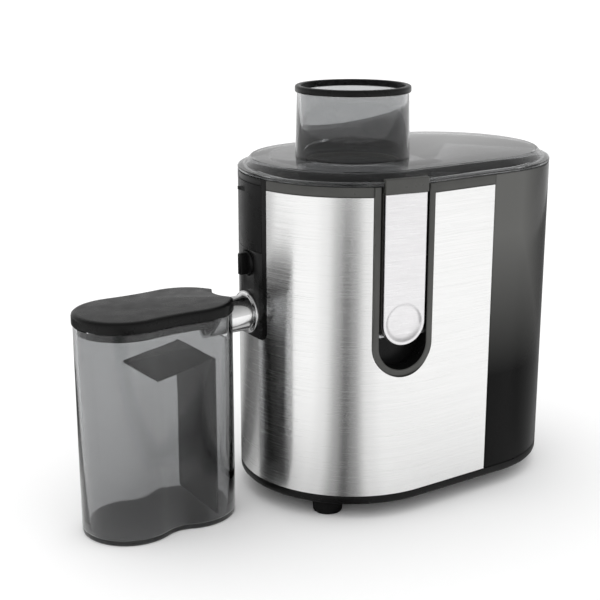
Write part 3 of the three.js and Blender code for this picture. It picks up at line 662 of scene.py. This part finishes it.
def housing():
    """The moulded shell inside the steel, with the dark collar that shows above it."""
    outer = SKIN + GAP
    inner = outer + WALL
    low, step = BASE_HIGH.z + GAP, STEEL_TOP + GAP
    section = [
        (outer, low), (outer, step), (0.3, step), (0, step + 0.3), (0, RIM_TOP - 0.6), (0.2, RIM_TOP - 0.2),
        (0.6, RIM_TOP), (inner - 0.3, RIM_TOP), (inner, RIM_TOP - 0.3), (inner, low),
    ]
    shell = wall(wrap_outline, section, open_path=True)
    side = HALF_WIDTH - outer - 1
    bulkhead = block((BIN_X - WALL, BIN_X), (-side, side), (low, 192))
    deck = overlap(loft(body_outline, [(inner - 1, DECK_Z), (inner - 1, DECK_Z + 3)]),
                   block((-120, BIN_X - 1), (-80, 80), (DECK_Z - 5, DECK_Z + 8)))
    spindle_hole = rod(upright, (AXIS_X, 0), 14, (DECK_Z - 1, DECK_Z + 4))
    reach = DUCT_HALF + GAP
    duct_x = (DUCT_X[0] - GAP, DUCT_X[1] + GAP)
    channel = block(duct_x, (OUTLET_Y - reach, OUTLET_Y + reach), (DECK_Z - 1, DECK_Z + 4))
    shell = join(shell, bulkhead, deck)
    rear = [gland_hole(GLAND_HOLE), *rear_slots()]
    return cut(shell, latch_opening(), outlet_opening(), spindle_hole, channel, *rear)


def pulp_bin():
    low, top = BIN_LOW.z, RIM_TOP
    grip_x, grip_top = HALF_LENGTH - 2.7, 21
    outside = [(0.7, low), (0.2, low + 0.2), (0, low + 0.7), (0, top - 0.9), (0.25, top - 0.3), (0.8, top)]
    inside = [(WALL + 1.5, low + WALL), (WALL + 0.3, low + WALL + 1.2), (WALL, low + WALL + 3),
              (WALL, top - 0.5), (WALL - 0.5, top + 0.1), (WALL - 0.5, top + 1)]
    room = cut(loft(bin_outline, inside), block((grip_x - WALL, 200), (-80, 80), (0, grip_top + WALL)))
    notch = block((BIN_X - 2, BIN_X + WALL + 1), (WALL - HALF_WIDTH, HALF_WIDTH - WALL), (192, top + 1))
    grip = block((grip_x, 200), (-80, 80), (0, grip_top))
    return cut(loft(bin_outline, outside), room, notch, grip)


def cord_gland():
    profile = [(3.4, 0), (6.2, 0), (6.2, 6.6), (7.8, 6.6), (8.2, 7), (8.2, 8), (7.9, 8.4), (5.6, 9.8),
               (5.1, 10.8), (5, 13.6), (4.6, 14), (3.8, 14), (3.4, 13.6)]
    turn = Matrix.Rotation(-math.pi / 2, 4, "X")
    low, high = corners("cord_gland")
    place = Matrix.Translation(((low.x + high.x) / 2, low.y, (low.z + high.z) / 2))
    return moved(lathe(profile, 64), place @ turn)


add("steel_wrap", steel_wrap(), "housing")
add("housing", housing(), "housing")
add("pulp_bin", pulp_bin(), "pulp_bin")
add("cord_gland", cord_gland(), "housing")

# ------------------------------------------------------------------ locking arm


def latch_surround():
    outline = slot_outline(LATCH_HALF, POCKET_END, RIM_TOP)
    front = [
        (0, POCKET_BACK + 2), (0, SURROUND_FRONT + 0.5), (0.15, SURROUND_FRONT + 0.15), (0.5, SURROUND_FRONT),
    ]
    frame_block = loft(outline, front, facing_front)
    recess = slot_outline(POCKET_HALF, POCKET_END, RIM_TOP + 8)
    flare = [(-0.5, SURROUND_FRONT - 1), (-0.5, SURROUND_FRONT), (0, SURROUND_FRONT + 0.5), (0, POCKET_BACK)]
    return in_latch(cut(frame_block, loft(recess, flare, facing_front)))


def arm_outline(inset):
    """Side view of the arm's head: up in front of the lid's flange and over it."""
    bend = 0.8
    under = FACE_TOP + GAP
    front = [(ARM_BACK, 196), (FACE_BACK, 196), (FACE_BACK, under), (HEAD_FRONT, under)]
    top = arc((HEAD_FRONT + bend, HOOK_TOP - bend), bend, math.pi, math.pi / 2, 8)
    hook = [(HOOK_TIP, HOOK_TOP), (HOOK_TIP, HOOK_TOP - 1.1), (HEAD_BACK, HOOK_TOP - 1.4)]
    return front + top + hook + [(HEAD_BACK, RIM_TOP - GAP), (ARM_BACK, RIM_TOP - GAP)]


def lever_arm():
    depth = [(0.4, ARM_BACK), (0, ARM_BACK - 0.4), (0, FACE_BACK)]
    carrier = loft(slot_outline(ARM_HALF, ARM_END, ARM_TOP), depth, facing_front)
    head = loft(arm_outline, [(0, -ARM_HALF), (0, ARM_HALF)], facing_end)
    return in_latch(rounded(join(carrier, head), 0.25))


def lever_face():
    """Silver strip with a round thumb dimple whose edge rolls softly into the face."""
    outline = slot_outline(ARM_HALF - 0.2, ARM_END, FACE_TOP)
    edge = [(0, FACE_BACK - GAP), (0, FACE_FRONT + 0.45), (0.12, FACE_FRONT + 0.15), (0.45, FACE_FRONT)]
    plate = loft(outline, edge, facing_front)
    dish = [
        (0, 1.6), (7.5, 1.55), (9.6, 1.4), (10.8, 1.05), (11.6, 0.55), (12, 0.2), (12.4, 0.05), (12.9, -0.2),
        (12.9, -3), (0, -3),
    ]
    cutter = lathe(dish, 96, closed=False)
    turn = Matrix.Translation((0, FACE_FRONT, ARM_END)) @ Matrix.Rotation(-math.pi / 2, 4, "X")
    return in_latch(cut(plate, moved(cutter, turn)))


def blacken_recess(surround):
    """Gives the faces inside the pocket, behind the surround's front, the black plastic; the front face keeps
    its own material.
    """
    surround.data.materials.append(MATERIALS["black_plastic"].material)
    to_latch = Matrix.Rotation(-LATCH_TURN, 4, "Z") @ Matrix.Translation((-AXIS_X, 0, 0))
    for face in surround.data.polygons:
        place = to_latch @ (face.center / MM)
        if abs(place.x) < POCKET_HALF + 0.2 and place.y > SURROUND_FRONT + 0.4:
            face.material_index = 1


blacken_recess(add("latch_surround", latch_surround(), "housing"))
add("lever_arm", lever_arm(), "lever")
add("lever_face", lever_face(), "lever", sharp=24)

# ------------------------------------------------------------------ outlet panel, spout and knob


def end_sheet(thickness, low, high, half):
    """Part of the left round end, of the given thickness, wide enough to be trimmed."""
    reach = math.asin(min((half + abs(OUTLET_Y) + 6) / HALF_WIDTH, 1))

    def outline(inset):
        return arc((AXIS_X, 0), HALF_WIDTH - inset, math.pi - reach, math.pi + reach, END_STEPS)

    section = [
        (0, low), (0, high - 0.5), (0.15, high - 0.15), (0.5, high), (thickness, high), (thickness, low),
    ]
    return wall(outline, section, open_path=True)


def outlet_panel():
    trim = loft(outlet_outline(PANEL_HALF, PANEL_LOW), [(0, -130), (0, -70)], facing_end)
    sheet = overlap(end_sheet(PANEL, PANEL_LOW - 2, RIM_TOP, PANEL_HALF), trim)
    side = APRON_HALF + GAP
    apron = block((-130, 0), (OUTLET_Y - side, OUTLET_Y + side), (APRON_LOW - GAP, 230))
    ring = rod(facing_end, (OUTLET_Y, SPOUT_Z), SPOUT_RING + GAP, (-130, -90))
    seat = rod(facing_end, (OUTLET_Y, KNOB_Z), 8.4, (-130, SEAT_X))
    hole = rod(facing_end, (OUTLET_Y, KNOB_Z), 3.2, (-130, -90))
    return rounded(cut(sheet, apron, ring, seat, hole), 0.3)


def juice_spout():
    rear, tip, ring = SPOUT_HIGH.x, SPOUT_LOW.x, SPOUT_RING
    ring_tip, ring_root = SPOUT_RING_X
    profile = [
        (SPOUT_BORE, rear), (SPOUT_R, rear), (SPOUT_R, ring_root), (ring, ring_root), (ring, ring_tip),
        (ring - 0.25, -112), (ring - 0.9, -112.2), (SPOUT_R + 0.6, -112.2), (SPOUT_R + 0.1, -112.6),
        (SPOUT_R, -113.2),
        (SPOUT_R, tip - 1), (SPOUT_BORE, tip - 1),
    ]
    tube = lathe(profile, ROUND)
    upright_to_end = Matrix.Translation((0, OUTLET_Y, SPOUT_Z)) @ Matrix.Rotation(math.pi / 2, 4, "Y")
    moved(tube, upright_to_end)
    angle = math.atan(13 / (2 * SPOUT_R))
    scoop = block((-60, 0), (-40, 40), (-60, 60))
    moved(scoop, Matrix.Translation((-137.5, OUTLET_Y, SPOUT_Z)) @ Matrix.Rotation(angle, 4, "Y"))
    return rounded(cut(tube, scoop), 0.25, 2, 50)


def speed_knob():
    disc = lathe([(0, SEAT_X - 3.6), (6.9, SEAT_X - 3.6), (7.4, SEAT_X - 3.3), (7.6, SEAT_X - 2.8),
                  (7.6, SEAT_X - GAP), (2.8, SEAT_X - GAP), (2.8, -98), (0, -98)], 80, closed=False)
    moved(disc, Matrix.Rotation(math.pi / 2, 4, "Y"))
    grip = block((SEAT_X - 8.6, SEAT_X - 3), (-1.9, 1.9), (-6.9, 6.9))
    grip = overlap(rounded(grip, 0.8, 4), rod(facing_end, (0, 0), 7.2, (SEAT_X - 9, SEAT_X)))
    return moved(join(disc, grip), Matrix.Translation((0, OUTLET_Y, KNOB_Z)))


add("outlet_panel", outlet_panel(), "housing")
add("juice_spout", juice_spout(), "housing", sharp=40)
add("speed_knob", speed_knob(), "knob")

# ------------------------------------------------------------------ juice collector


def juice_collector():
    floor, tray, outside = 150, 193, 54
    centre = (AXIS_X, 0)
    edge = SKIN + GAP + WALL + GAP
    shelf = overlap(loft(body_outline, [(edge, tray), (edge, tray + 2)]),
                    block((-120, BIN_X + 4), (-80, 80), (tray - 5, tray + 8)))
    y0, y1 = OUTLET_Y - APRON_HALF, OUTLET_Y + APRON_HALF
    apron = overlap(end_sheet(2.6, APRON_LOW, RIM_TOP, APRON_HALF), block((-130, 0), (y0, y1), (100, 230)))
    neck = block((-HALF_LENGTH + 1.6, -HALF_LENGTH + 12), (y0 + 3.5, y1 - 5.5), (tray, tray + 2))
    duct = block(DUCT_X, (OUTLET_Y - DUCT_HALF, OUTLET_Y + DUCT_HALF), (100, floor + 4))
    body = join(rod(upright, centre, outside, (floor, tray + 2)), shelf, duct, apron, neck)
    latch_room = in_latch(loft(slot_outline(LATCH_HALF + 1, POCKET_END, RIM_TOP + 4),
                               [(0, -90), (0, POCKET_BACK + 3)], facing_front))
    seam = wall(lambda inset: arc(centre, HALF_WIDTH - inset, 2.2, 4.1, 72),
                [(-1, 199.3), (0.5, 199.3), (0.5, 199.8), (-1, 199.8)], open_path=True)
    body = cut(
        body,
        rod(upright, centre, outside - 2, (floor + 2, tray + 3)),
        block((-90, -74), (OUTLET_Y - 10, OUTLET_Y + 10), (102, floor + 3)),
        rod(facing_end, (OUTLET_Y, SPOUT_Z), SPOUT_BORE, (-93, -89)),
        latch_room,
        seam,
    )
    hub = [(16, floor), (18, floor), (18, 163.3), (17.7, 163.6), (16.3, 163.6), (16, 163.3)]
    collar = lathe(hub, 64, centre)
    return cut(join(body, collar), rod(upright, centre, 16, (floor - 1, 165)))


add("juice_collector", juice_collector(), "housing")

# ------------------------------------------------------------------ lid and chute


def lid():
    low = LID_EDGE
    flange = [(0.3, low), (0, low + 0.3), (0, FLANGE_TOP - 0.4), (0.4, FLANGE_TOP), (3, FLANGE_TOP),
              (3.3, FLANGE_TOP + 0.1), (8, LID_TOP - 0.3), (8.7, LID_TOP - 0.05), (9.3, LID_TOP)]
    cover = loft(body_outline, flange)
    hollow = [(5.8, low - 1), (5.8, FLANGE_TOP - 0.4), (10.2, LID_TOP - 2.6), (10.8, LID_TOP - 2.4)]
    inside = loft(body_outline, hollow)
    centre = (AXIS_X, 0)
    skirt = cut(lathe([(52, 199), (54, 199), (54, LID_TOP - 1), (52, LID_TOP - 1)], ROUND, centre),
                block((AXIS_X + 26, 200), (-80, 80), (190, 230)))
    tube = CHUTE_BORE + 2.2
    end = LID_LOW.z
    chute_profile = [
        (0, end), (tube - 0.4, end), (tube, end + 0.4), (tube, LID_TOP - 1), (CHUTE_R + 0.8, LID_TOP - 0.4),
        (CHUTE_R + 0.3, LID_TOP + 0.3), (CHUTE_R, LID_TOP + 1), (CHUTE_R - 1, CHUTE_TOP), (0, CHUTE_TOP),
    ]
    chute = lathe(chute_profile, ROUND, centre, closed=False)
    bore = lathe([(0, end - 1), (CHUTE_BORE, end - 1), (CHUTE_BORE, LID_TOP), (CHUTE_BORE + 1, CHUTE_TOP + 1),
                  (0, CHUTE_TOP + 1)], ROUND, centre, closed=False)
    side = ARM_HALF + 0.9
    head_notch = in_latch(block((-side, side), (-84.2, HEAD_BACK + GAP), (203, 207)))
    return cut(join(cut(cover, inside), skirt, chute), bore, head_notch)


def chute_rim():
    low, high = RIM_LOW.z, RIM_HIGH.z
    outer = (RIM_HIGH.x - RIM_LOW.x) / 2
    inner = CHUTE_BORE + 0.8
    profile = [
        (inner, low), (outer - 0.4, low), (outer - 0.1, low + 0.2), (outer, low + 0.6), (outer, high - 1.3),
        (outer - 0.3, high - 0.5), (outer - 1.1, high - 0.05), (outer - 1.8, high), (inner + 1.2, high),
        (inner + 0.4, high - 0.2), (inner, high - 0.8),
    ]
    return lathe(profile, 128, (AXIS_X, 0))


add("lid", lid(), "lid")
add("chute_rim", chute_rim(), "lid")

# ------------------------------------------------------------------ filter basket


def filter_basket():
    profile = [
        (20, 166.2), (37.4, 166.2), (37.9, 166.6), (46.6, 195), (45.7, 195), (37.2, 167.2), (36.8, 167),
        (20, 167),
    ]
    return lathe(profile, ROUND, (AXIS_X, 0))


def grater_disc():
    edge = [(0, 167.3), (33.2, 167.3), (33.5, 167.8), (33.2, 168.3), (0, 168.3)]
    disc = lathe(edge, 80, (AXIS_X, 0), closed=False)
    teeth = bmesh.new()
    for row in range(3):
        count = 8 + 4 * row
        for i in range(count):
            angle = 2 * math.pi * (i + row / 3) / count
            reach = 11 + 8.5 * row
            place = Matrix.Translation((AXIS_X + reach * math.cos(angle), reach * math.sin(angle), 168.8))
            bmesh.ops.create_cone(teeth, cap_ends=True, segments=4, radius1=1.3, radius2=0.05, depth=1.5,
                                  matrix=place @ Matrix.Rotation(angle, 4, "Z"))
    return join(disc, scratch(teeth))


def basket_rim():
    profile = [
        (46.9, 192), (48.4, 192.2), (48.8, 192.7), (48.8, 197), (48.4, 197.5), (46.4, 197.8), (46, 197.6),
        (45.6, 195.4), (46.9, 195.4),
    ]
    return lathe(profile, ROUND, (AXIS_X, 0))


add("filter_basket", filter_basket(), "rotor")
add("grater_disc", grater_disc(), "rotor")
add("basket_rim", basket_rim(), "rotor")

# ------------------------------------------------------------------ jug


def jug():
    top = JUG_HIGH.z
    walls = [
        (1.8, FLOOR), (0.8, FLOOR + 0.2), (0.2, FLOOR + 0.8), (0, FLOOR + 1.8), (0, top - 0.4), (0.4, top),
        (JUG_WALL - 0.4, top), (JUG_WALL, top - 0.4), (JUG_WALL, FLOOR + 4.5), (JUG_WALL + 0.5, FLOOR + 3.2),
        (JUG_WALL + 1.8, FLOOR + 2.6),
    ]
    notch = rod(facing_end, (OUTLET_Y, SPOUT_Z), 13.4, (-142, -120))
    throat = block((-142, -120), (OUTLET_Y - 13.4, OUTLET_Y + 13.4), (SPOUT_Z, top + 1))
    return cut(jug_loft(walls), join(notch, throat))


def jug_lid():
    low, high = JUG_HIGH.z + GAP, JUG_LID_HIGH.z
    over = -0.8
    top = [
        (0.2, low), (over, low + 0.3), (over, high - 2.2), (over + 0.3, high - 1.2), (over + 1.1, high - 0.5),
        (over + 2.4, high - 0.1), (over + 4, high),
    ]
    cover = jug_loft(top)
    plug = cut(jug_loft([(JUG_WALL + 0.5, JUG_LID_LOW.z), (JUG_WALL + 0.5, low + 1)]),
               jug_loft([(JUG_WALL + 2.3, JUG_LID_LOW.z - 1), (JUG_WALL + 2.3, low + 0.2)]),
               block((-150, -100), (-60, 80), (100, low)))
    scoop = rod(upright, (-117.6, OUTLET_Y), 17, (100, 150))
    return rounded(cut(join(cover, plug), scoop), 0.4, 3, 50)


def foam_separator():
    half = 24
    plate = block((-150.6, -149), (OUTLET_Y - half, OUTLET_Y + half), (FLOOR + 4.8, 98))
    shelf = block((-20, 20), (2 - half, half - 2), (-0.8, 0.8))
    tilt = Matrix.Translation((-169, OUTLET_Y, 94)) @ Matrix.Rotation(math.radians(-10), 4, "Y")
    return rounded(join(plate, moved(shelf, tilt)), 0.35)


add("jug", jug(), "jug")
add("jug_lid", jug_lid(), "jug_lid")
add("foam_separator", foam_separator(), "jug")

# ------------------------------------------------------------------ CAD nodes that stay in view

for name, kept in frame["nodes"].items():
    if name not in rebuilt:
        for material_slot in kept.material_slots:
            material_slot.material = look_of(name)

# ------------------------------------------------------------------ camera, floor and light

CAMERA_PLACE = (-0.5234, -0.6452, 0.3393)
CAMERA_YAW = math.radians(34.65)  # from +Y towards +X
CAMERA_DIP = math.radians(15.57)
CAMERA_LENS = 75.6
SENSOR = 36
STUDIO_LIGHT = 1.2
REFLECTED_HORIZON = 1.0  # the light that reflections see
REFLECTED_ZENITH = 0.3


def camera():
    data = bpy.data.cameras.new("camera")
    data.lens = CAMERA_LENS
    data.sensor_width = SENSOR
    eye = bpy.data.objects.new("camera", data)
    eye.location = CAMERA_PLACE
    eye.rotation_euler = (math.pi / 2 - CAMERA_DIP, 0, -CAMERA_YAW)
    bpy.context.scene.collection.objects.link(eye)
    bpy.context.scene.camera = eye


def stage_look(name, color, roughness):
    look = Look(name, color, roughness, specular=0)
    look.vary_roughness(look.noise((4, 4, 4), 2), 0.1)
    return look


def floor():
    half = 6000
    edge = 2
    ground = block((-half, half), (-half, half), (FLOOR - edge, FLOOR - 0.02))
    ground.data.transform(Matrix.Scale(MM, 4))
    ground.name = "floor"
    ground.data.materials.append(stage_look("floor", (0.97, 0.97, 0.97), 0.9).material)


# azimuth in degrees, from the front towards the pulp bin, and how light the studio is there
REFLECTED = [
    (-180, 0.5), (-152, 0.1), (-138, 0.16), (-124, 0.5), (-111, 0.9), (-96, 0.97), (-72, 0.97),
    (-60, 0.82), (-48, 0.34), (-41, 0.08), (-34, 0.26), (-22, 0.8), (-8, 0.93), (45, 0.97), (60, 0.4),
    (106, 0.25), (140, 0.5), (180, 0.5),
]


def azimuth_ramp(look):
    """Colours a stage surface by direction round the spin axis."""
    place = look.nodes.new("ShaderNodeSeparateXYZ")
    look.links.new(look.coordinates.outputs["Object"], place.inputs["Vector"])
    behind = look.nodes.new("ShaderNodeMath")
    behind.operation = "MULTIPLY"
    behind.inputs[1].default_value = -1
    look.links.new(place.outputs["Y"], behind.inputs[0])
    angle = look.nodes.new("ShaderNodeMath")
    angle.operation = "ARCTAN2"
    look.links.new(place.outputs["X"], angle.inputs[0])
    look.links.new(behind.outputs["Value"], angle.inputs[1])
    ramp = look.nodes.new("ShaderNodeValToRGB")
    ramp.color_ramp.interpolation = "EASE"
    marks = ramp.color_ramp.elements
    for mark in REFLECTED[2:]:
        marks.new(mark[0] / 360 + 0.5)
    for element, (azimuth, shade) in zip(marks, REFLECTED):
        element.position = azimuth / 360 + 0.5
        element.color = (shade, shade, shade, 1)
    look.links.new(look.ranged(angle.outputs["Value"], 0, 1, -math.pi, math.pi), ramp.inputs["Fac"])
    look.links.new(ramp.outputs["Color"], look.shader.inputs["Base Color"])
    return look.material


def reflected_studio():
    """A disc on the floor that only reflections see, with softly darker sectors."""
    disc = rod(upright, (0, 0), 1500, (FLOOR + 0.2, FLOOR + 0.4))
    disc.data.transform(Matrix.Scale(MM, 4))
    disc.location.x = AXIS_X * MM
    disc.name = "reflected_studio"
    disc.data.materials.append(azimuth_ramp(stage_look("reflected_studio", (0.9, 0.9, 0.9), 0.9)))
    disc.visible_camera = False
    disc.visible_diffuse = False
    disc.visible_shadow = False
    disc.visible_transmission = False


def world():
    """Even white light, which reflections see falling off towards the top."""
    scene_world = bpy.data.worlds.new("studio")
    scene_world.use_nodes = True
    nodes, links = scene_world.node_tree.nodes, scene_world.node_tree.links
    even = nodes["Background"]
    even.inputs["Color"].default_value = (1, 1, 1, 1)
    even.inputs["Strength"].default_value = STUDIO_LIGHT
    mirrored = nodes.new("ShaderNodeBackground")
    direction = nodes.new("ShaderNodeTexCoord")
    height = nodes.new("ShaderNodeSeparateXYZ")
    fall = nodes.new("ShaderNodeMapRange")
    fall.inputs["To Min"].default_value = REFLECTED_HORIZON
    fall.inputs["To Max"].default_value = REFLECTED_ZENITH
    rays = nodes.new("ShaderNodeLightPath")
    mix = nodes.new("ShaderNodeMixShader")
    links.new(direction.outputs["Generated"], height.inputs["Vector"])
    links.new(height.outputs["Z"], fall.inputs["Value"])
    links.new(fall.outputs["Result"], mirrored.inputs["Strength"])
    links.new(rays.outputs["Is Glossy Ray"], mix.inputs["Fac"])
    links.new(even.outputs["Background"], mix.inputs[1])
    links.new(mirrored.outputs["Background"], mix.inputs[2])
    links.new(mix.outputs["Shader"], nodes["World Output"].inputs["Surface"])
    bpy.context.scene.world = scene_world


camera()
floor()
world()
reflected_studio()
bpy.context.scene.view_settings.view_transform = "Standard"
